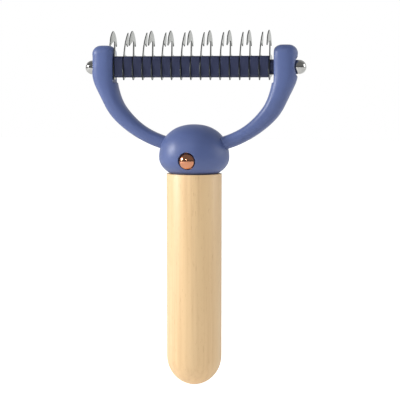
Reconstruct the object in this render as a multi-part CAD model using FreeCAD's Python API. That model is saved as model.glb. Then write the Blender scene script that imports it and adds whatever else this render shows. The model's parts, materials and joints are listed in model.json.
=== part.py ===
"""Undercoat rake: a wooden handle, a round hub with a push-button catch, a bow-shaped
fork, and a row of alternating wide and fine blades on a square axle between its arms.

Millimetres. The origin is on the handle's axis where the handle meets the hub.
+Z points to the blades, -Y is the front with the button, X runs along the blade row.
"""
import FreeCAD, Part
import math
import os

V = FreeCAD.Vector

# ---- handle ----
GRIP_R = 13.85
GRIP_STRAIGHT = 92.0        # length of the round stretch
GRIP_END = 14.8             # length of the rounded end

# ---- hub ----
HUB_R = 17.6
HUB_WAIST_Z = 8.0           # height of the widest place
HUB_UPPER = 16.6            # from the widest place up to the crown
HUB_LOWER = 10.75           # half-height of the lower ellipse, cut off at the handle
HUB_FULLNESS = 2.2          # superellipse exponent of the upper half

# ---- plug, catch and button ----
PLUG_R = 5.0
PLUG_TOP = 9.6
PLUG_DEPTH = 38.0
NECK_R = 2.8
NECK_LOW = 5.75
NECK_HIGH = 8.25
BUTTON_Z = 7.0
BUTTON_R = 3.8
BUTTON_RING = 0.5           # gap round the button
BUTTON_EDGE_Y = -16.7
BUTTON_DOME = 2.1
TRAVEL = 2.2
PLATE_T = 2.0
PLATE_HALF = 7.0
PLATE_FRONT = -10.6
PLATE_REAR = 9.0
WINDOW_R = 5.2
FLANGE_R = 4.8
FLANGE_T = 1.0
SPRING_END_Y = 12.6
SPRING_HALF = 4.2           # half the bow spring's height
SPRING_WIDTH = 4.0
SPRING_T = 0.3
GAP = 0.3                   # play round hidden moving parts
FIT = 0.05                  # play of a glued or pressed piece

# ---- screws ----
SCREW_R = 1.4
SCREW_HEAD_R = 2.5
SCREW_HEAD_H = 1.6
SCREW_SEAT_Y = 6.5
SCREW_TIP_Y = -6.0
HUB_SCREWS = [(0.0, 20.7), (-11.5, 3.4), (11.5, 3.4)]
PLUG_SCREW_R = 1.6
PLUG_SCREW_TIP = -60.0

# ---- fork: outer and inner ellipse of the bow, then straight heads ----
AXLE_Z = 53.0
OUTER_A, OUTER_B, OUTER_Z = 51.5, 43.4, 53.45
INNER_A, INNER_B, INNER_Z = 39.5, 31.3, 47.65
BOW_STATIONS = [0, 15, 30, 45, 60, 74]      # degrees from the bottom of the bow
BOW_DEPTH = 4.3             # half depth inside the hub
HEAD_FORWARD = 1.05         # how far the arm heads stand forward of the hub
HEAD_DEPTH = 5.95            # half depth at the arm heads
HEAD_IN, HEAD_OUT = 40.0, 52.1
HEAD_TOP = 63.9
HEAD_ROUND = 4.3
HEAD_LEVELS = [49.0, 54.5, HEAD_TOP - HEAD_ROUND]
HEAD_ROUND_STEPS = [0, 22.5, 45, 67.5, 90]  # degrees round the arm top's edge
SECTION_FULLNESS = 2.5
SECTION_POINTS = 16
POCKET_X = 40.95
POCKET_Z = 45.2
POCKET_ROUND = 0.8
SEAT_R = 5.0                # round recess for the nut
SEAT_X = 48.8

# ---- axle, nuts and bushings ----
JOURNAL_R = 2.0
SQUARE = 4.0
ROD_END = 52.5
BUSH_R = 3.0
BUSH_FLANGE_R = 4.2
BUSH_FLANGE = 0.2
RUNNING = 0.06
WASHER_R = 3.9
WASHER_T = 0.8
NUT_R = 3.5
NUT_FACE = 49.7
NUT_DOME_X = 52.8

# ---- blade row ----
BLADES = 17
PITCH = 4.94
BLADE_T = 0.5
ROW_CENTRE = -0.9           # the row stands nearer to the left arm
SPACER_DEPTH = 9.0
SPACER_HEIGHT = 10.6
SPACER_LIFT = 0.2
SPACER_ROUND = 1.3
SPACER_CHAMFER = 0.35
COLLAR_R = 3.75
COLLAR_END = 40.65
HOLE_PLAY = 0.1


def save(shape, name):
    """Write one node's solid or solids to its STEP file."""
    shape.exportStep("parts/%s.step" % name)


def cylinder(radius, start, end, axis):
    """Round bar of a radius from start to end, both on a line along axis."""
    length = (V(*end) - V(*start)).Length
    return Part.makeCylinder(radius, length, V(*start), V(*axis))


def box(low, high):
    """Block between two corners."""
    size = [high[i] - low[i] for i in range(3)]
    return Part.makeBox(*size, V(*low))


def smooth_curve(points, closed=False):
    """Spline through points."""
    curve = Part.BSplineCurve()
    curve.interpolate(Points=points, PeriodicFlag=closed)
    return curve.toShape()


def turned(edges, axis_low, axis_high):
    """Solid of revolution about Z: edges run in the XZ plane between two axis points."""
    closing = Part.makeLine(V(0, 0, axis_high), V(0, 0, axis_low))
    face = Part.Face(Part.Wire(Part.__sortEdges__(edges + [closing])))
    return face.revolve(V(0, 0, 0), V(0, 0, 1), 360)


# ---- handle, plug and its screw ----
def make_handle():
    """Wooden grip with a rounded end, a socket for the plug and a pilot hole."""
    ellipse = Part.Ellipse(V(0, 0, -GRIP_STRAIGHT - GRIP_END),
                           V(GRIP_R, 0, -GRIP_STRAIGHT), V(0, 0, -GRIP_STRAIGHT))
    quarter = Part.Arc(ellipse, 0, math.pi / 2).toShape()
    side = Part.makeLine(V(GRIP_R, 0, -GRIP_STRAIGHT), V(GRIP_R, 0, 0))
    top = Part.makeLine(V(GRIP_R, 0, 0), V(0, 0, 0))
    body = turned([quarter, side, top], -GRIP_STRAIGHT - GRIP_END, 0)
    socket = cylinder(PLUG_R + FIT, (0, 0, -PLUG_DEPTH), (0, 0, 1), (0, 0, 1))
    pilot = cylinder(PLUG_SCREW_R, (0, 0, PLUG_SCREW_TIP), (0, 0, 0), (0, 0, 1))
    return body.cut(socket).cut(pilot)


def screw_cone(radius, head_r, low, high):
    """Countersunk head: a cone from the shank's radius to the head's."""
    return Part.makeCone(radius, head_r, high - low, V(0, 0, low), V(0, 0, 1))


def make_plug():
    """Steel plug glued into the handle; the catch grips its neck."""
    plug = cylinder(PLUG_R, (0, 0, -PLUG_DEPTH), (0, 0, PLUG_TOP), (0, 0, 1))
    groove = cylinder(PLUG_R + 1, (0, 0, NECK_LOW), (0, 0, NECK_HIGH), (0, 0, 1))
    neck = cylinder(NECK_R, (0, 0, NECK_LOW), (0, 0, NECK_HIGH), (0, 0, 1))
    plug = plug.cut(groove).fuse(neck).removeSplitter()
    bore = cylinder(PLUG_SCREW_R, (0, 0, -PLUG_DEPTH - 1), (0, 0, PLUG_TOP + 1), (0, 0, 1))
    sink = screw_cone(PLUG_SCREW_R, SCREW_HEAD_R + FIT, NECK_HIGH + FIT, PLUG_TOP)
    return plug.cut(bore).cut(sink)


def make_plug_screw():
    """Wood screw that holds the plug in the handle."""
    shank = cylinder(PLUG_SCREW_R - FIT, (0, 0, PLUG_SCREW_TIP + 1),
                     (0, 0, NECK_HIGH + FIT), (0, 0, 1))
    head = screw_cone(PLUG_SCREW_R - FIT, SCREW_HEAD_R, NECK_HIGH + FIT, PLUG_TOP)
    return shank.fuse(head).removeSplitter()


# ---- hub ----
def hub_radius(z):
    """Radius of the hub's outside at a height."""
    if z >= HUB_WAIST_Z:
        rise = (z - HUB_WAIST_Z) / HUB_UPPER
        return HUB_R * (1 - rise ** HUB_FULLNESS) ** (1 / HUB_FULLNESS)
    drop = (HUB_WAIST_Z - z) / HUB_LOWER
    return HUB_R * math.sqrt(1 - drop ** 2)


def hub_ball():
    """Solid outside shape of the hub, flat where it meets the handle."""
    crown = HUB_WAIST_Z + HUB_UPPER
    steps = 9
    lower = [HUB_WAIST_Z * i / 4 for i in range(4)]
    upper = [HUB_WAIST_Z + HUB_UPPER * math.sin(math.pi / 2 * i / steps) for i in range(steps)]
    points = [V(hub_radius(z), 0, z) for z in lower + upper] + [V(0, 0, crown)]
    base = Part.makeLine(V(0, 0, 0), points[0])
    return turned([base, smooth_curve(points)], 0, crown)


def hub_hollows():
    """The bodies cut out of the two hub shells: plug, catch, button and spring rooms, bow."""
    low = BUTTON_Z - PLATE_T / 2 - GAP
    high = BUTTON_Z + PLATE_T / 2 + GAP
    plug = cylinder(PLUG_R + FIT, (0, 0, -1), (0, 0, PLUG_TOP + GAP), (0, 0, 1))
    slot = box((-PLATE_HALF - GAP, PLATE_FRONT - GAP, low),
               (PLATE_HALF + GAP, PLATE_REAR + TRAVEL + GAP, high))
    axis = (0, 1, 0)
    flange = cylinder(FLANGE_R + GAP, (0, PLATE_FRONT - FLANGE_T - GAP, BUTTON_Z),
                      (0, PLATE_FRONT + TRAVEL + GAP, BUTTON_Z), axis)
    window = cylinder(BUTTON_R + BUTTON_RING, (0, -HUB_R - 2, BUTTON_Z),
                      (0, PLATE_FRONT - FLANGE_T, BUTTON_Z), axis)
    half_room = SPRING_HALF + GAP
    spring = box((-SPRING_WIDTH / 2 - GAP, PLATE_REAR, BUTTON_Z - half_room),
                 (SPRING_WIDTH / 2 + GAP, SPRING_END_Y, BUTTON_Z + half_room))
    return [plug, slot, flange, window, spring, make_bow(FIT)]


def screw_tools(radius, head_r, tip, outer):
    """Bars for all hub screws: shanks, and heads that reach out to outer."""
    bars = []
    for x, z in HUB_SCREWS:
        shank = cylinder(radius, (x, tip, z), (x, SCREW_SEAT_Y, z), (0, 1, 0))
        head = cylinder(head_r, (x, SCREW_SEAT_Y, z), (x, outer, z), (0, 1, 0))
        bars.append(shank.fuse(head).removeSplitter())
    return bars


def make_hub_shells():
    """Front and rear half of the hub, parted through the handle's axis."""
    holes = screw_tools(SCREW_R + FIT, SCREW_HEAD_R + FIT, SCREW_TIP_Y - FIT, HUB_R + 1)
    hub = hub_ball()
    for tool in hub_hollows() + holes:
        hub = hub.cut(tool)
    reach = HUB_R + 5
    front = hub.common(box((-reach, -reach, -1), (reach, 0, 2 * reach)))
    rear = hub.common(box((-reach, 0, -1), (reach, reach, 2 * reach)))
    return front, rear


def make_hub_screws():
    """Three cap screws with a hexagon socket, from the rear."""
    screws = []
    bars = screw_tools(SCREW_R, SCREW_HEAD_R, SCREW_TIP_Y, SCREW_SEAT_Y + SCREW_HEAD_H)
    for bar, (x, z) in zip(bars, HUB_SCREWS):
        top = SCREW_SEAT_Y + SCREW_HEAD_H
        corners = [V(x + SCREW_R * math.cos(math.pi * i / 3), top - SCREW_HEAD_H / 2,
                     z + SCREW_R * math.sin(math.pi * i / 3)) for i in range(7)]
        socket = Part.Face(Part.makePolygon(corners)).extrude(V(0, SCREW_HEAD_H, 0))
        screws.append(bar.cut(socket))
    return Part.makeCompound(screws)


# ---- catch ----
def make_catch_button():
    """Domed button with a flange that keeps it in, and a stem to the plate."""
    axis = (0, 1, 0)
    flange_y = PLATE_FRONT - FLANGE_T
    cap = cylinder(BUTTON_R, (0, BUTTON_EDGE_Y, BUTTON_Z), (0, flange_y, BUTTON_Z), axis)
    flange = cylinder(FLANGE_R, (0, flange_y, BUTTON_Z), (0, PLATE_FRONT, BUTTON_Z), axis)
    ball_r = (BUTTON_R ** 2 + BUTTON_DOME ** 2) / (2 * BUTTON_DOME)
    ball = Part.makeSphere(ball_r, V(0, BUTTON_EDGE_Y - BUTTON_DOME + ball_r, BUTTON_Z))
    round_end = cylinder(BUTTON_R, (0, BUTTON_EDGE_Y - 2 * BUTTON_DOME, BUTTON_Z),
                         (0, BUTTON_EDGE_Y, BUTTON_Z), axis)
    return cap.fuse([flange, ball.common(round_end)]).removeSplitter()


def make_catch_plate():
    """Sliding plate whose window edge grips the plug's neck until the button is pressed."""
    low = BUTTON_Z - PLATE_T / 2
    plate = box((-PLATE_HALF, PLATE_FRONT, low), (PLATE_HALF, PLATE_REAR, low + PLATE_T))
    window = cylinder(WINDOW_R, (0, -TRAVEL, low - 1), (0, -TRAVEL, low + PLATE_T + 1), (0, 0, 1))
    return plate.cut(window)


def make_button_spring():
    """Bowed leaf spring behind the plate: its middle bears on the plate, its ends on the hub."""
    near = PLATE_REAR + FIT
    far = SPRING_END_Y - FIT
    high = BUTTON_Z + SPRING_HALF
    low = BUTTON_Z - SPRING_HALF
    bow = Part.Arc(V(-SPRING_WIDTH / 2, far, low), V(-SPRING_WIDTH / 2, near, BUTTON_Z),
                   V(-SPRING_WIDTH / 2, far, high)).toShape()
    inner = Part.Arc(V(-SPRING_WIDTH / 2, far, low + SPRING_T),
                     V(-SPRING_WIDTH / 2, near + SPRING_T, BUTTON_Z),
                     V(-SPRING_WIDTH / 2, far, high - SPRING_T)).toShape()
    feet = [Part.makeLine(V(-SPRING_WIDTH / 2, far, z), V(-SPRING_WIDTH / 2, far, z + step))
            for z, step in ((low, SPRING_T), (high, -SPRING_T))]
    outline = Part.Wire(Part.__sortEdges__([bow, inner] + feet))
    return Part.Face(outline).extrude(V(SPRING_WIDTH, 0, 0))


# ---- fork ----
def bow_section(outer, inner, depth, clearance):
    """Closed rounded section between an outer and an inner point of the bow's outline."""
    centre = (outer + inner) * 0.5
    across = outer - inner
    half = across.Length / 2 + clearance
    across.normalize()
    points = []
    for i in range(SECTION_POINTS):
        angle = 2 * math.pi * i / SECTION_POINTS
        c, s = math.cos(angle), math.sin(angle)
        power = 2 / SECTION_FULLNESS
        u = math.copysign(abs(c) ** power, c) * half
        w = math.copysign(abs(s) ** power, s) * (depth + clearance)
        points.append(centre + across * u + V(0, w, 0))
    return Part.Wire(smooth_curve(points, True))


def loft(sections, clearance):
    """Smooth solid through (outer, inner, depth) sections."""
    wires = [bow_section(outer, inner, depth, clearance) for outer, inner, depth in sections]
    return Part.makeLoft(wires, True, False)


def make_bow(clearance=0.0):
    """The bow and both arm heads as one smooth body, grown by a clearance."""
    arm = []
    last = BOW_STATIONS[-1]
    for degrees in BOW_STATIONS:
        a = math.radians(degrees)
        outer = V(OUTER_A * math.sin(a), 0, OUTER_Z - OUTER_B * math.cos(a))
        inner = V(INNER_A * math.sin(a), 0, INNER_Z - INNER_B * math.cos(a))
        rise = (degrees / last) ** 1.5
        forward = V(0, -HEAD_FORWARD * rise, 0)
        arm.append((outer + forward, inner + forward, BOW_DEPTH + (HEAD_DEPTH - BOW_DEPTH) * rise))
    y = -HEAD_FORWARD
    for z in HEAD_LEVELS:
        arm.append((V(HEAD_OUT, y, z), V(HEAD_IN, y, z), HEAD_DEPTH))
    top = []
    for degrees in HEAD_ROUND_STEPS:
        a = math.radians(degrees)
        z = HEAD_TOP - HEAD_ROUND * (1 - math.sin(a))
        inset = HEAD_ROUND * (1 - math.cos(a))
        top.append((V(HEAD_OUT - inset, y, z), V(HEAD_IN + inset, y, z), HEAD_DEPTH - inset))
    right = loft(arm[::-1], clearance).fuse(loft(top[::-1], clearance))
    left = right.mirror(V(0, 0, 0), V(1, 0, 0))
    return right.fuse(left)


def make_fork():
    """Bow with rounded arm tops, pockets for the end blades, bores and nut seats."""
    fork = make_bow()
    pocket = box((-POCKET_X, -20, POCKET_Z), (POCKET_X, 20, 2 * AXLE_Z))
    floor_edges = [e for e in pocket.Edges if abs(e.BoundBox.ZMax - POCKET_Z) < 0.01
                   and e.BoundBox.YLength > 1]
    fork = fork.cut(pocket.makeFillet(POCKET_ROUND, floor_edges))
    bore = cylinder(BUSH_R + FIT / 2, (-60, 0, AXLE_Z), (60, 0, AXLE_Z), (1, 0, 0))
    fork = fork.cut(bore)
    for side in (-1, 1):
        seat = cylinder(SEAT_R, (side * SEAT_X, 0, AXLE_Z), (side * 60, 0, AXLE_Z), (side, 0, 0))
        fork = fork.cut(seat)
    return fork


# ---- axle and what is on it ----
def along_x(radius, start, end):
    """Round bar on the axle's line."""
    sign = 1 if end > start else -1
    return cylinder(radius, (start, 0, AXLE_Z), (end, 0, AXLE_Z), (sign, 0, 0))


def square_bar(start, end, size):
    """Square bar on the axle's line."""
    h = size / 2
    return box((start, -h, AXLE_Z - h), (end, h, AXLE_Z + h))


def make_axle_rod():
    """Square rod with a round journal at each end."""
    edge = blade_x(0) - BLADE_T / 2
    return square_bar(edge, COLLAR_END, SQUARE).fuse(
        along_x(JOURNAL_R, -ROD_END, ROD_END)).removeSplitter()


def make_bushing(side):
    """Flanged bearing sleeve in one arm."""
    sleeve = along_x(BUSH_R, side * POCKET_X, side * SEAT_X)
    flange = along_x(BUSH_FLANGE_R, side * (POCKET_X - BUSH_FLANGE), side * POCKET_X)
    bore = along_x(JOURNAL_R + RUNNING, side * (POCKET_X - 2), side * (SEAT_X + 1))
    return sleeve.fuse(flange).removeSplitter().cut(bore)


def make_washer(side):
    """Plain washer in the nut's seat."""
    start = side * (SEAT_X + FIT / 2)
    ring = along_x(WASHER_R, start, start + side * WASHER_T)
    return ring.cut(along_x(JOURNAL_R + RUNNING, side * (SEAT_X - 1), side * (SEAT_X + 2)))


def make_dome_nut(side):
    """Cap nut with a hemispherical end."""
    dome = Part.makeSphere(NUT_R, V(side * NUT_DOME_X, 0, AXLE_Z))
    body = along_x(NUT_R, side * NUT_FACE, side * NUT_DOME_X)
    thread = along_x(JOURNAL_R + FIT / 5, side * (NUT_FACE - 1), side * (ROD_END + 0.2))
    far = along_x(NUT_R + 1, side * NUT_DOME_X, side * (NUT_DOME_X + 2 * NUT_R))
    return body.fuse(dome.common(far)).removeSplitter().cut(thread)


def blade_x(index):
    """Place of a blade's middle plane along the row."""
    return ROW_CENTRE + (index - (BLADES - 1) / 2) * PITCH


def blade_plate(index, head_steps):
    """Flat blade: a shared root round the axle and a head given by its outline steps.

    Outline points are (y, z) from the axle. A step of one point is a straight edge,
    a step of two points is an arc through the first to the second.
    """
    shoulder_front, shoulder_back = (-3.2, 5.7), (-0.6, 5.9)
    root_steps = [
        [(2.4, 5.2), (3.9, 2.6)],
        [(3.6, -4.2)],
        [(-1.4, -5.4)],
        [(-2.6, -6.3)],
        [(-3.3, -6.4), (-3.9, -5.9)],
        [(-5.0, -3.6), (-5.2, -1.0)],
        [shoulder_front],
    ]
    edges = []
    here = shoulder_front
    for step in head_steps + [[shoulder_back]] + root_steps:
        path = [V(blade_x(index) - BLADE_T / 2, y, AXLE_Z + z) for y, z in [here] + step]
        edges.append(Part.Arc(*path).toShape() if len(path) == 3 else Part.makeLine(*path))
        here = step[-1]
    plate = Part.Face(Part.Wire(edges)).extrude(V(BLADE_T, 0, 0))
    hole = square_bar(blade_x(index) - 1, blade_x(index) + 1, SQUARE + HOLE_PLAY)
    return plate.cut(hole)


def make_wide_blade(index):
    """Blade with an arrowhead that has a wing on either side of the stem."""
    return blade_plate(index, [
        [(-2.5, 12.9)],
        [(-6.2, 12.2), (-9.9, 10.6)],
        [(-10.7, 10.7), (-10.6, 11.5)],
        [(-8.8, 15.3), (-5.0, 17.9)],
        [(-4.6, 18.0), (-4.2, 17.9)],
        [(-0.4, 15.2), (1.2, 11.0)],
        [(1.1, 10.4), (0.6, 10.5)],
        [(-0.8, 12.6)],
        [(-1.35, 9.4), (-1.3, 6.7)],
    ])


def make_fine_blade(index):
    """Blade that curves back to a point, with a barb on its back only."""
    return blade_plate(index, [
        [(-0.5, 11.8), (4.9, 17.3)],
        [(5.3, 17.4), (5.4, 17.0)],
        [(5.4, 13.8), (4.3, 10.8)],
        [(4.0, 10.4), (3.7, 10.6)],
        [(1.0, 12.0)],
        [(-0.9, 9.0), (-1.3, 6.7)],
    ])


def make_spacer(index):
    """Block between two blades, with chamfered ends and a square hole."""
    start = blade_x(index) + BLADE_T / 2
    end = blade_x(index + 1) - BLADE_T / 2
    mid_z = AXLE_Z + SPACER_LIFT
    block = box((start, -SPACER_DEPTH / 2, mid_z - SPACER_HEIGHT / 2),
                (end, SPACER_DEPTH / 2, mid_z + SPACER_HEIGHT / 2))
    long_edges = [e for e in block.Edges if e.BoundBox.XLength > 1]
    block = block.makeFillet(SPACER_ROUND, long_edges)
    rims = [e for e in block.Edges if e.BoundBox.XLength < 0.01]
    block = block.makeChamfer(SPACER_CHAMFER, rims)
    return block.cut(square_bar(start - 1, end + 1, SQUARE + HOLE_PLAY))


def make_end_collar():
    """Round collar between the last blade and the right arm."""
    start = blade_x(BLADES - 1) + BLADE_T / 2
    collar = along_x(COLLAR_R, start, COLLAR_END)
    return collar.cut(square_bar(start - 1, COLLAR_END + 1, SQUARE + HOLE_PLAY))


def main():
    """Build and write every node."""
    os.makedirs("parts", exist_ok=True)
    save(make_handle(), "handle")
    save(make_plug(), "handle_plug")
    save(make_plug_screw(), "plug_screw")
    front, rear = make_hub_shells()
    save(front, "hub_front_shell")
    save(rear, "hub_rear_shell")
    save(make_hub_screws(), "hub_screws")
    save(make_catch_button(), "catch_button")
    save(make_catch_plate(), "catch_plate")
    save(make_button_spring(), "button_spring")
    save(make_fork(), "fork")
    save(make_axle_rod(), "axle_rod")
    save(make_end_collar(), "end_collar")
    for side, word in ((-1, "left"), (1, "right")):
        save(make_bushing(side), word + "_bushing")
        save(make_washer(side), word + "_washer")
        save(make_dome_nut(side), word + "_dome_nut")
    for index in range(BLADES):
        if index % 2 == 0:
            save(make_wide_blade(index), "wide_blade_%d" % (index // 2 + 1))
        else:
            save(make_fine_blade(index), "fine_blade_%d" % (index // 2 + 1))
    for index in range(BLADES - 1):
        save(make_spacer(index), "spacer_%d" % (index + 1))


main()
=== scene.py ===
"""Looks of the undercoat rake: finishes, soft edges, studio and camera round the fixed frame."""

import json
import logging
import math
from dataclasses import dataclass, field
from enum import Enum
from typing import Sequence

import bpy
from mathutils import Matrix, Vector


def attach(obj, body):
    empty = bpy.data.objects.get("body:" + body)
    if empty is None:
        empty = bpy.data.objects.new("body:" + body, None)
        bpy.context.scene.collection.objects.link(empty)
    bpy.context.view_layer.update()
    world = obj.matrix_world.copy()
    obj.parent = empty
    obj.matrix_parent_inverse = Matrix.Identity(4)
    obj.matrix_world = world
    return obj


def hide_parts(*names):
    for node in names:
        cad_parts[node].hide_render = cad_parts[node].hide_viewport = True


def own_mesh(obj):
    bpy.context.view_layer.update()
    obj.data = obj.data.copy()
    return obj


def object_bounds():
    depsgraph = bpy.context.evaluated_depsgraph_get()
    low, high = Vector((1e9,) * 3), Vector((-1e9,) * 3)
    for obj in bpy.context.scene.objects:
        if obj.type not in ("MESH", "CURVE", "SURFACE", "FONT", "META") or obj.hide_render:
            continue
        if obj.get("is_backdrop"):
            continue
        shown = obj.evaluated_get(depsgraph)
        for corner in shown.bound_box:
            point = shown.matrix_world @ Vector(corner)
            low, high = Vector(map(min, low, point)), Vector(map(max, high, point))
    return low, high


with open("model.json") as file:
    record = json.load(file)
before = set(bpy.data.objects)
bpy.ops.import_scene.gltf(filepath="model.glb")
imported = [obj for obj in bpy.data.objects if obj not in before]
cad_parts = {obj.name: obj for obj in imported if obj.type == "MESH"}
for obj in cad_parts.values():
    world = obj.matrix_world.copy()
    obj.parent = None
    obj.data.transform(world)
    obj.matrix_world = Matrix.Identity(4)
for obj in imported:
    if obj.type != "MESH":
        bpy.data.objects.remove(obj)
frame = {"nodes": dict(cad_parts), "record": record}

log = logging.getLogger("undercoat_rake")

Colour = tuple[float, float, float]
Triple = tuple[float, float, float]
Socket = bpy.types.NodeSocket
MM = 0.001

# Places of a Mix node's sockets, whose names repeat.
MIX_FACTOR = 0
MIX_NUMBERS = (2, 3)
MIX_COLOURS = (6, 7)
MIX_NUMBER_OUT = 0
MIX_COLOUR_OUT = 2


class Body(Enum):
    """The moving groups of the tool."""

    BASE = "handle_and_fork"
    BUTTON = "button"
    HEAD = "blade_head"


class Slot(Enum):
    """Material slots of the record."""

    BEECH = "beech"
    BLUE = "blue_plastic"
    NAVY = "navy_plastic"
    BEARING = "bearing_plastic"
    BLADE = "blade_steel"
    POLISHED = "polished_steel"
    PLAIN = "plain_steel"
    COPPER = "copper_button"


def linear(red: int, green: int, blue: int) -> Colour:
    """Turn a display colour into the linear colour that shaders use.

    Args:
        red: Red from 0 to 255.
        green: Green from 0 to 255.
        blue: Blue from 0 to 255.

    Returns:
        The linear colour.
    """
    def channel(value: int) -> float:
        """Linear value of one channel."""
        part = value / 255
        return part / 12.92 if part <= 0.04045 else ((part + 0.055) / 1.055) ** 2.4

    return channel(red), channel(green), channel(blue)


class NodeSheet:
    """A material's node tree, with short ways to add what the finishes need."""

    def __init__(self, name: str) -> None:
        """Start an empty material.

        Args:
            name: The material's name.
        """
        self.material = bpy.data.materials.new(name)
        self.material.use_nodes = True
        self.tree = self.material.node_tree
        self.shader = self.tree.nodes["Principled BSDF"]
        self.place = self.tree.nodes.new("ShaderNodeTexCoord").outputs["Object"]

    def add(self, kind: str, **values: object) -> bpy.types.Node:
        """Add a node and set its properties or inputs by name.

        Args:
            kind: The node's type.
            values: Properties, or inputs with spaces written as underscores.

        Returns:
            The node.
        """
        node = self.tree.nodes.new(kind)
        for key, value in values.items():
            if hasattr(node, key):
                setattr(node, key, value)
            else:
                node.inputs[key.replace("_", " ")].default_value = value
        return node

    def link(self, start: Socket, end: Socket) -> None:
        """Join an output to an input."""
        self.tree.links.new(start, end)

    def axes(self, vector: Socket) -> bpy.types.NodeOutputs:
        """Split a vector into its parts.

        Args:
            vector: The vector.

        Returns:
            Outputs named X, Y and Z.
        """
        node = self.add("ShaderNodeSeparateXYZ")
        self.link(vector, node.inputs["Vector"])
        return node.outputs

    def stretched(self, scale: Triple) -> Socket:
        """Object coordinates scaled along each axis.

        Args:
            scale: How fine a pattern gets along X, Y and Z, per metre.

        Returns:
            The scaled coordinates.
        """
        mapping = self.add("ShaderNodeMapping", Scale=scale)
        self.link(self.place, mapping.inputs["Vector"])
        return mapping.outputs["Vector"]

    def noise(self, vector: Socket, scale: float = 1.0, detail: float = 3.0,
              roughness: float = 0.5) -> Socket:
        """Noise pattern.

        Args:
            vector: Where it is read.
            scale: How fine it is, on top of the vector's own scale.
            detail: Number of finer layers.
            roughness: Weight of the finer layers.

        Returns:
            The noise value.
        """
        node = self.add("ShaderNodeTexNoise", Scale=scale, Detail=detail, Roughness=roughness)
        self.link(vector, node.inputs["Vector"])
        return node.outputs["Fac"]

    def ramp(self, value: Socket, stops: Sequence[tuple[float, Colour]]) -> Socket:
        """Colour ramp over a value.

        Args:
            value: What is read.
            stops: Place and linear colour of each stop.

        Returns:
            The ramp's colour.
        """
        node = self.add("ShaderNodeValToRGB")
        for element, (place, colour) in zip(node.color_ramp.elements, stops):
            element.position = place
            element.color = (*colour, 1.0)
        self.link(value, node.inputs["Fac"])
        return node.outputs["Color"]

    def spread(self, value: Socket, low: float, high: float,
               start: float = 0.3, end: float = 0.7) -> Socket:
        """Map a value to a range.

        Args:
            value: What is read.
            low: Result at start.
            high: Result at end.
            start: Value that gives low.
            end: Value that gives high.

        Returns:
            The mapped value.
        """
        node = self.add("ShaderNodeMapRange", From_Min=start, From_Max=end, To_Min=low,
                        To_Max=high)
        self.link(value, node.inputs["Value"])
        return node.outputs["Result"]

    def compute(self, operation: str, *parts: Socket | float) -> Socket:
        """Arithmetic on values.

        Args:
            operation: The Math node's operation.
            parts: Sockets or numbers, in the operation's order.

        Returns:
            The result.
        """
        node = self.add("ShaderNodeMath", operation=operation)
        for place, part in enumerate(parts):
            if isinstance(part, Socket):
                self.link(part, node.inputs[place])
            else:
                node.inputs[place].default_value = part
        return node.outputs["Value"]

    def blend(self, factor: Socket, first: Socket | Colour, second: Socket | Colour) -> Socket:
        """Mix two colours.

        Args:
            factor: Share of the second colour.
            first: Colour or socket.
            second: Colour or socket.

        Returns:
            The mixed colour.
        """
        node = self.add("ShaderNodeMix", data_type="RGBA")
        self.link(factor, node.inputs[MIX_FACTOR])
        for place, part in zip(MIX_COLOURS, (first, second)):
            if isinstance(part, tuple):
                node.inputs[place].default_value = (*part, 1.0)
            else:
                self.link(part, node.inputs[place])
        return node.outputs[MIX_COLOUR_OUT]

    def bump(self, height: Socket, depth: float, strength: float,
             under: Socket | None = None) -> Socket:
        """Bump from a height value.

        Args:
            height: The height pattern.
            depth: Real height of the pattern in metres.
            strength: Share of the effect.
            under: An earlier bump's normal, if any.

        Returns:
            The bent normal.
        """
        node = self.add("ShaderNodeBump", Distance=depth, Strength=strength)
        self.link(height, node.inputs["Height"])
        if under is not None:
            self.link(under, node.inputs["Normal"])
        return node.outputs["Normal"]

    def finish(self, **values: Socket | float | tuple) -> bpy.types.Material:
        """Set the shader's inputs and hand over the material.

        Args:
            values: Shader inputs, with spaces written as underscores.

        Returns:
            The material.
        """
        for key, value in values.items():
            socket = self.shader.inputs[key.replace("_", " ")]
            if isinstance(value, Socket):
                self.link(value, socket)
            else:
                socket.default_value = value
        return self.material


@dataclass(frozen=True)
class BeechFinish:
    """Satin-lacquered beech with straight grain along the handle and short dark rays."""

    pale: Colour = linear(246, 213, 165)
    warm: Colour = linear(239, 203, 152)
    ray: Colour = linear(206, 162, 112)
    grain_fineness: Triple = (420.0, 420.0, 9.0)
    figure_fineness: Triple = (60.0, 60.0, 4.0)
    ray_fineness: Triple = (2600.0, 2600.0, 260.0)
    grain_share: float = 0.36
    ray_share: float = 0.40
    grain_depth: float = 0.04 * MM
    pore_depth: float = 0.03 * MM
    relief: float = 0.5
    smoothest: float = 0.36
    roughest: float = 0.48
    lacquer: float = 0.25
    lacquer_roughness: float = 0.28

    def make(self) -> bpy.types.Material:
        """Build the material.

        Returns:
            The beech.
        """
        sheet = NodeSheet("satin_beech")
        grain = sheet.noise(sheet.stretched(self.grain_fineness), detail=5.0, roughness=0.6)
        figure = sheet.noise(sheet.stretched(self.figure_fineness))
        rays = sheet.noise(sheet.stretched(self.ray_fineness), detail=1.0, roughness=0.4)
        base = sheet.ramp(figure, ((0.3, self.warm), (0.7, self.pale)))
        lined = sheet.blend(
            sheet.spread(grain, 0.0, self.grain_share, start=0.45, end=0.75), base, self.ray)
        dashed = sheet.blend(
            sheet.spread(rays, 0.0, self.ray_share, start=0.66, end=0.74), lined, self.ray)
        pores = sheet.bump(rays, self.pore_depth, self.relief)
        return sheet.finish(
            Base_Color=dashed,
            Roughness=sheet.spread(grain, self.smoothest, self.roughest),
            Normal=sheet.bump(grain, self.grain_depth, self.relief, pores),
            Coat_Weight=self.lacquer, Coat_Roughness=self.lacquer_roughness)


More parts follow.
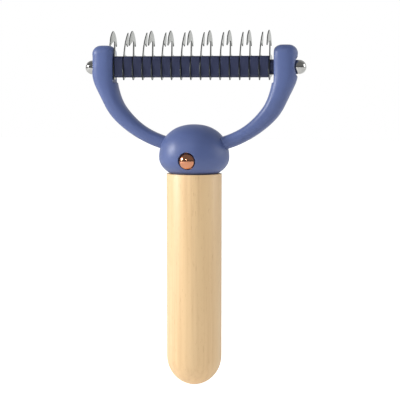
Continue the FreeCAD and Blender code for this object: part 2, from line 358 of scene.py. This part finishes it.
@dataclass(frozen=True)
class PlasticFinish:
    """Moulded plastic with a fine spark-eroded texture and slight shade changes."""

    name: str
    colour: Colour
    shade: Colour
    roughness: float = 0.38
    roughness_change: float = 0.04
    cloud_fineness: float = 45.0
    flow_fineness: float = 260.0
    texture_fineness: float = 5200.0
    texture_depth: float = 0.01 * MM
    relief: float = 0.6

    def make(self) -> bpy.types.Material:
        """Build the material.

        Returns:
            The plastic.
        """
        sheet = NodeSheet(self.name)
        cloud = sheet.noise(sheet.place, self.cloud_fineness)
        texture = sheet.noise(sheet.place, self.texture_fineness, detail=2.0)
        flow = sheet.noise(sheet.place, self.flow_fineness)
        return sheet.finish(
            Base_Color=sheet.ramp(cloud, ((0.35, self.shade), (0.65, self.colour))),
            Roughness=sheet.spread(flow, self.roughness - self.roughness_change,
                                   self.roughness + self.roughness_change),
            Normal=sheet.bump(texture, self.texture_depth, self.relief),
            Specular_IOR_Level=0.5)


@dataclass(frozen=True)
class MetalFinish:
    """Metal with fine marks along one direction."""

    name: str
    colour: Colour
    roughness: float
    roughness_change: float = 0.04
    mark_fineness: Triple = (300.0, 300.0, 300.0)
    mark_depth: float = 0.002 * MM
    cloud_fineness: float = 180.0
    cloud_shade: float = 0.86
    relief: float = 0.6

    def make(self) -> bpy.types.Material:
        """Build the material.

        Returns:
            The metal.
        """
        sheet = NodeSheet(self.name)
        marks = sheet.noise(sheet.stretched(self.mark_fineness), roughness=0.6)
        cloud = sheet.noise(sheet.place, self.cloud_fineness)
        shade = tuple(self.cloud_shade * part for part in self.colour)
        return sheet.finish(
            Base_Color=sheet.ramp(cloud, ((0.3, shade), (0.65, self.colour))),
            Metallic=1.0,
            Roughness=sheet.spread(marks, self.roughness - self.roughness_change,
                                   self.roughness + self.roughness_change),
            Normal=sheet.bump(marks, self.mark_depth, self.relief))


@dataclass(frozen=True)
class BladeFinish:
    """Blade steel: finely ground faces; edges rougher where the blank was punched, and coloured
    dark as painted shade standing in for the dark reflections along them.
    """

    face: Colour = linear(214, 216, 212)
    shadow: Colour = linear(196, 198, 194)
    # painted shade: dark colour for the blade edges, standing in for the dark reflections they
    # show
    painted_shade_edge: Colour = linear(78, 81, 79)
    face_roughness: float = 0.20
    edge_roughness: float = 0.46
    mark_roughness: float = 0.08
    edge_start: float = 0.55
    edge_end: float = 0.80
    mark_fineness: Triple = (300.0, 240.0, 4200.0)
    mark_depth: float = 0.0012 * MM
    cloud_fineness: float = 180.0
    relief: float = 0.5

    def make(self) -> bpy.types.Material:
        """Build the material.

        Returns:
            The blade steel.
        """
        sheet = NodeSheet("ground_blade_steel")
        facing = sheet.axes(sheet.add("ShaderNodeNewGeometry").outputs["Normal"])["X"]
        on_face = sheet.spread(sheet.compute("ABSOLUTE", facing), 0.0, 1.0,
                               self.edge_start, self.edge_end)
        marks = sheet.noise(sheet.stretched(self.mark_fineness), roughness=0.6)
        cloud = sheet.noise(sheet.place, self.cloud_fineness)
        ground = sheet.ramp(cloud, ((0.3, self.shadow), (0.65, self.face)))
        smooth = sheet.compute("MULTIPLY_ADD", on_face, self.face_roughness - self.edge_roughness,
                               self.edge_roughness)
        return sheet.finish(
            # painted shade: edges get the dark colour in place of the dark reflections along
            # them; faces keep the ground steel
            Base_Color=sheet.blend(on_face, self.painted_shade_edge, ground),
            Metallic=1.0,
            Roughness=sheet.compute("MULTIPLY_ADD", marks, self.mark_roughness, smooth),
            Normal=sheet.bump(marks, self.mark_depth, self.relief))


FINISHES: dict[Slot, BeechFinish | PlasticFinish | MetalFinish | BladeFinish] = {
    Slot.BEECH: BeechFinish(),
    Slot.BLUE: PlasticFinish("satin_blue_plastic", colour=linear(90, 106, 156),
                             shade=linear(86, 101, 149), roughness=0.41),
    Slot.NAVY: PlasticFinish("navy_plastic", colour=linear(40, 47, 78),
                             shade=linear(36, 42, 71), roughness=0.45),
    Slot.BEARING: PlasticFinish("black_bearing_plastic", colour=linear(40, 42, 48),
                                shade=linear(34, 36, 42)),
    Slot.BLADE: BladeFinish(),
    Slot.POLISHED: MetalFinish("polished_steel", linear(205, 205, 202), roughness=0.09,
                               roughness_change=0.02),
    Slot.PLAIN: MetalFinish("turned_steel", linear(170, 172, 174), roughness=0.34,
                            mark_fineness=(4200.0, 300.0, 300.0), mark_depth=0.004 * MM),
    Slot.COPPER: MetalFinish("polished_copper", linear(228, 158, 122), roughness=0.13,
                             roughness_change=0.03),
}


class Finisher:
    """Makes each finish once and puts it on pieces."""

    def __init__(self) -> None:
        """Make every material and read which slot each node has in the record."""
        self.materials = {slot: finish.make() for slot, finish in FINISHES.items()}
        self.slots = {row["node"]: Slot(row["material_slot"])
                      for row in frame["record"]["subparts"]}

    def dress(self, piece: bpy.types.Object, slot: Slot) -> None:
        """Give a piece one finish all over.

        Args:
            piece: The piece.
            slot: Its material slot.
        """
        piece.data.materials.clear()
        piece.data.materials.append(self.materials[slot])


@dataclass(frozen=True)
class Rounding:
    """How far the edges of a node are rounded, and from which angle an edge counts."""

    width: float
    segments: int = 2
    sharp: float = math.radians(32)


@dataclass
class SubAssembly:
    """Nodes that belong together, each dressed by its slot and rounded at its edges.

    kinds maps a node's name without its number to its rounding, or to None where its edges
    stay as they are.
    """

    finisher: Finisher
    kinds: dict[str, Rounding | None] = field(default_factory=dict)
    merge: float = 0.002 * MM

    def soften(self, node: bpy.types.Object, rounding: Rounding) -> None:
        """Round a node's edges with modifiers; its own mesh stays as it is.

        Args:
            node: The node.
            rounding: How far its edges are rounded.
        """
        weld = node.modifiers.new("merge", "WELD")
        weld.merge_threshold = self.merge
        bevel = node.modifiers.new("soft_edges", "BEVEL")
        bevel.width = rounding.width
        bevel.segments = rounding.segments
        bevel.limit_method = "ANGLE"
        bevel.angle_limit = rounding.sharp
        bevel.harden_normals = True

    def build(self) -> None:
        """Dress the sub-assembly's nodes and round their edges."""
        for name, node in frame["nodes"].items():
            kind = name.rstrip("_0123456789")
            if kind not in self.kinds:
                continue
            slot = self.finisher.slots[name]
            self.finisher.dress(node, slot)
            if self.kinds[kind] is not None:
                self.soften(node, self.kinds[kind])
            log.info("dressed %s as %s", name, slot.value)


@dataclass
class Handle(SubAssembly):
    """Turned handle with the steel plug glued in its end and the plug's screw."""

    kinds: dict[str, Rounding | None] = field(default_factory=lambda: {
        "handle": Rounding(0.25 * MM, 3),
        "handle_plug": None,
        "plug_screw": None,
    })


@dataclass
class Hub(SubAssembly):
    """Two hub mouldings, their screws, the push button and the catch behind it."""

    kinds: dict[str, Rounding | None] = field(default_factory=lambda: {
        "hub_front_shell": Rounding(0.14 * MM),
        "hub_rear_shell": Rounding(0.14 * MM),
        "hub_screws": Rounding(0.12 * MM),
        "catch_button": Rounding(0.18 * MM, 3),
        "catch_plate": None,
        "button_spring": None,
    })
    spring_edge: float = 0.05 * MM
    spring_segments: int = 2
    spring_smooth: float = math.radians(38)
    spring_keep: float = 0.36

    def build(self) -> None:
        """Dress the hub's nodes and put the leaf spring in its place."""
        super().build()
        self.build_leaf_spring()

    def build_leaf_spring(self) -> None:
        """Leaf spring behind the catch plate, rounded at its edges and fixed to the base."""
        node = frame["nodes"]["button_spring"]
        spring = bpy.data.objects.new("leaf_spring", node.data.copy())
        bpy.context.scene.collection.objects.link(spring)
        bpy.ops.object.select_all(action="DESELECT")
        spring.select_set(True)
        bpy.context.view_layer.objects.active = spring
        bpy.ops.object.mode_set(mode="EDIT")
        bpy.ops.mesh.select_all(action="SELECT")
        bpy.ops.mesh.remove_doubles(threshold=self.merge)
        bpy.ops.object.mode_set(mode="OBJECT")
        bevel = spring.modifiers.new("soft_edges", "BEVEL")
        bevel.width = self.spring_edge
        bevel.segments = self.spring_segments
        bpy.ops.object.modifier_apply(modifier=bevel.name)
        bpy.ops.object.shade_smooth_by_angle(angle=self.spring_smooth)
        self.finisher.dress(spring, Slot.PLAIN)
        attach(spring, Body.BASE.value)
        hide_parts("button_spring")
        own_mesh(spring)
        log.info("built %s", spring.name)


@dataclass
class Fork(SubAssembly):
    """Bow with its two arm heads and the bushings pressed into them."""

    kinds: dict[str, Rounding | None] = field(default_factory=lambda: {
        "fork": Rounding(0.30 * MM, 3),
        "left_bushing": Rounding(0.12 * MM),
        "right_bushing": Rounding(0.12 * MM),
    })


@dataclass
class BladeHead(SubAssembly):
    """Row of blades and spacers on its axle, with the collar, washers and dome nuts."""

    kinds: dict[str, Rounding | None] = field(default_factory=lambda: {
        "wide_blade": Rounding(0.05 * MM, 1),
        "fine_blade": Rounding(0.05 * MM, 1),
        "spacer": Rounding(0.10 * MM),
        "end_collar": Rounding(0.12 * MM),
        "axle_rod": Rounding(0.12 * MM),
        "left_washer": Rounding(0.16 * MM),
        "right_washer": Rounding(0.16 * MM),
        "left_dome_nut": Rounding(0.16 * MM),
        "right_dome_nut": Rounding(0.16 * MM),
    })


@dataclass(frozen=True)
class Panel:
    """A square soft light: edge length in metres, power in watts.

    mirrored says whether shiny surfaces show it, and only names the one node that it lights.
    """

    name: str
    place: Triple
    size: float
    power: float
    mirrored: bool = True
    only: str = ""


@dataclass
class Studio:
    """Pale floor, graded surroundings, soft lights and the camera."""

    yaw: float = math.radians(12.8)
    distance: float = 0.70
    camera_height: float = 0.045
    sensor_width: float = 36.0
    view_width: float = 0.200
    aim_height: float = -0.01335
    aim_right: float = 0.0029
    floor_gap: float = 0.2 * MM
    floor_height: float = field(init=False)
    floor_size: float = 6.0
    floor_shades: tuple[float, float] = (0.70, 0.72)
    floor_cloud: float = 3.0
    floor_roughness: float = 0.9
    floor_glow: float = 0.29
    glow_low_share: float = 0.3
    glow_high_share: float = 0.7
    glow_reach: float = 0.5
    dark_side: float = -0.10
    bright_side: float = 0.75
    dark_level: float = 0.05
    dark_top_level: float = 0.42
    dark_top_end: float = 0.50
    bright_level: float = 0.92
    roof_start: float = 0.12
    roof_end: float = 0.55
    roof_level: float = 0.62
    panel_aim: Triple = (0.0, 0.0, -0.01)
    panels: tuple[Panel, ...] = (
        Panel("key_panel", (-0.98, -0.34, 0.35), size=0.34, power=8.0),
        Panel("fill_panel", (0.95, 0.25, 0.30), size=0.5, power=2.0),
        Panel("front_panel", (-0.25, -1.0, 0.75), size=0.9, power=6.9, mirrored=False),
        Panel("spark_panel", (-0.10, -0.80, 0.25), size=0.05, power=0.6, only="catch_button"),
    )

    def __post_init__(self) -> None:
        """Put the floor just under the handle's end."""
        self.floor_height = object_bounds()[0].z - self.floor_gap

    def build(self) -> None:
        """Make the floor, surroundings, lights and camera."""
        self.build_floor()
        self.build_world()
        for panel in self.panels:
            self.add_panel(panel)
        self.build_camera()

    def build_floor(self) -> None:
        """Wide flat floor, white to the eye and less bright to the tool above it."""
        bpy.ops.mesh.primitive_plane_add(size=self.floor_size,
                                         location=(0, 0, self.floor_height))
        floor = bpy.context.active_object
        floor.name = "studio_floor"
        sheet = NodeSheet("pale_floor")
        paint = sheet.ramp(sheet.noise(sheet.place, self.floor_cloud),
                           [(place, (shade,) * 3)
                            for place, shade in zip((0.3, 0.7), self.floor_shades)])
        axes = sheet.axes(sheet.place)
        glow = sheet.compute("ADD", *(
            sheet.spread(axes[axis], self.glow_low_share * self.floor_glow,
                         self.glow_high_share * self.floor_glow,
                         -self.glow_reach, self.glow_reach) for axis in "XY"))
        seen = sheet.add("ShaderNodeMix", data_type="FLOAT")
        tool_sees, eye_sees = (seen.inputs[place] for place in MIX_NUMBERS)
        sheet.link(sheet.add("ShaderNodeLightPath").outputs["Is Camera Ray"],
                   seen.inputs[MIX_FACTOR])
        sheet.link(glow, tool_sees)
        eye_sees.default_value = 1.0
        floor.data.materials.append(sheet.finish(
            Base_Color=paint, Roughness=self.floor_roughness,
            Emission_Color=(1.0, 1.0, 1.0, 1.0),
            Emission_Strength=seen.outputs[MIX_NUMBER_OUT]))
        floor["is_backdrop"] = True

    @staticmethod
    def add_step(tree: bpy.types.NodeTree, value: Socket, start: float, end: float,
                 low: float, high: float, smooth: bool = True) -> bpy.types.Node:
        """Add a step between two levels.

        Args:
            tree: The node tree that it goes in.
            value: What is read.
            start: Value where the step starts.
            end: Value where it ends.
            low: Level before the start.
            high: Level after the end.
            smooth: Whether the step eases in and out.

        Returns:
            The step's node.
        """
        step = tree.nodes.new("ShaderNodeMapRange")
        step.interpolation_type = "SMOOTHSTEP" if smooth else "LINEAR"
        for key, limit in (("From Min", start), ("From Max", end),
                           ("To Min", low), ("To Max", high)):
            step.inputs[key].default_value = limit
        tree.links.new(value, step.inputs["Value"])
        return step

    def build_world(self) -> None:
        """White to the eye; to the tool dark in front, paler above, bright at the back."""
        world = bpy.data.worlds.new("studio")
        bpy.context.scene.world = world
        world.use_nodes = True
        tree = world.node_tree
        nodes, links = tree.nodes, tree.links
        seen = nodes["Background"]
        seen.inputs["Color"].default_value = (1.0, 1.0, 1.0, 1.0)
        around = nodes.new("ShaderNodeBackground")
        axes = nodes.new("ShaderNodeSeparateXYZ")
        links.new(nodes.new("ShaderNodeTexCoord").outputs["Generated"], axes.inputs["Vector"])
        front = self.add_step(tree, axes.outputs["Z"], 0.0, self.dark_top_end,
                              self.dark_level, self.dark_top_level, smooth=False)
        back = self.add_step(tree, axes.outputs["Y"], self.dark_side, self.bright_side,
                             self.dark_level, self.bright_level)
        links.new(front.outputs["Result"], back.inputs["To Min"])
        roof = self.add_step(tree, axes.outputs["Z"], self.roof_start, self.roof_end,
                             1.0, self.roof_level)
        level = nodes.new("ShaderNodeMath")
        level.operation = "MULTIPLY"
        links.new(back.outputs["Result"], level.inputs[0])
        links.new(roof.outputs["Result"], level.inputs[1])
        links.new(level.outputs["Value"], around.inputs["Strength"])
        mix = nodes.new("ShaderNodeMixShader")
        links.new(nodes.new("ShaderNodeLightPath").outputs["Is Camera Ray"], mix.inputs["Fac"])
        links.new(around.outputs["Background"], mix.inputs[1])
        links.new(seen.outputs["Background"], mix.inputs[2])
        links.new(mix.outputs["Shader"], nodes["World Output"].inputs["Surface"])

    def add_panel(self, panel: Panel) -> None:
        """Hang a soft light and aim it at the middle of the tool's head.

        Args:
            panel: The light's place, size and power.
        """
        light = bpy.data.lights.new(panel.name, "AREA")
        light.shape = "SQUARE"
        light.size = panel.size
        light.energy = panel.power
        holder = bpy.data.objects.new(panel.name, light)
        bpy.context.scene.collection.objects.link(holder)
        holder.location = panel.place
        aim = Vector(self.panel_aim) - Vector(panel.place)
        holder.rotation_euler = aim.to_track_quat("-Z", "Y").to_euler()
        holder.visible_glossy = panel.mirrored
        if panel.only:
            lit = bpy.data.collections.new("spark_lit")
            lit.objects.link(frame["nodes"][panel.only])
            holder.light_linking.receiver_collection = lit

    def build_camera(self) -> None:
        """Camera level with the blades' feet, a little to the right arm's side."""
        data = bpy.data.cameras.new("camera")
        data.sensor_width = self.sensor_width
        data.lens = data.sensor_width * self.distance / self.view_width
        camera = bpy.data.objects.new("camera", data)
        bpy.context.scene.collection.objects.link(camera)
        right = Vector((math.cos(self.yaw), math.sin(self.yaw), 0))
        back = Vector((math.sin(self.yaw), -math.cos(self.yaw), 0))
        aim = right * self.aim_right + Vector((0, 0, self.aim_height))
        camera.location = right * self.aim_right + back * self.distance + Vector(
            (0, 0, self.camera_height))
        camera.rotation_euler = (aim - camera.location).to_track_quat("-Z", "Y").to_euler()
        bpy.context.scene.camera = camera
        bpy.context.scene.view_settings.view_transform = "Standard"


def main() -> None:
    logging.basicConfig(level=logging.INFO)
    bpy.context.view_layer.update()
    finisher = Finisher()
    for assembly in (Handle, Hub, Fork, BladeHead):
        assembly(finisher).build()
    Studio().build()


if __name__ == "__main__":
    main()
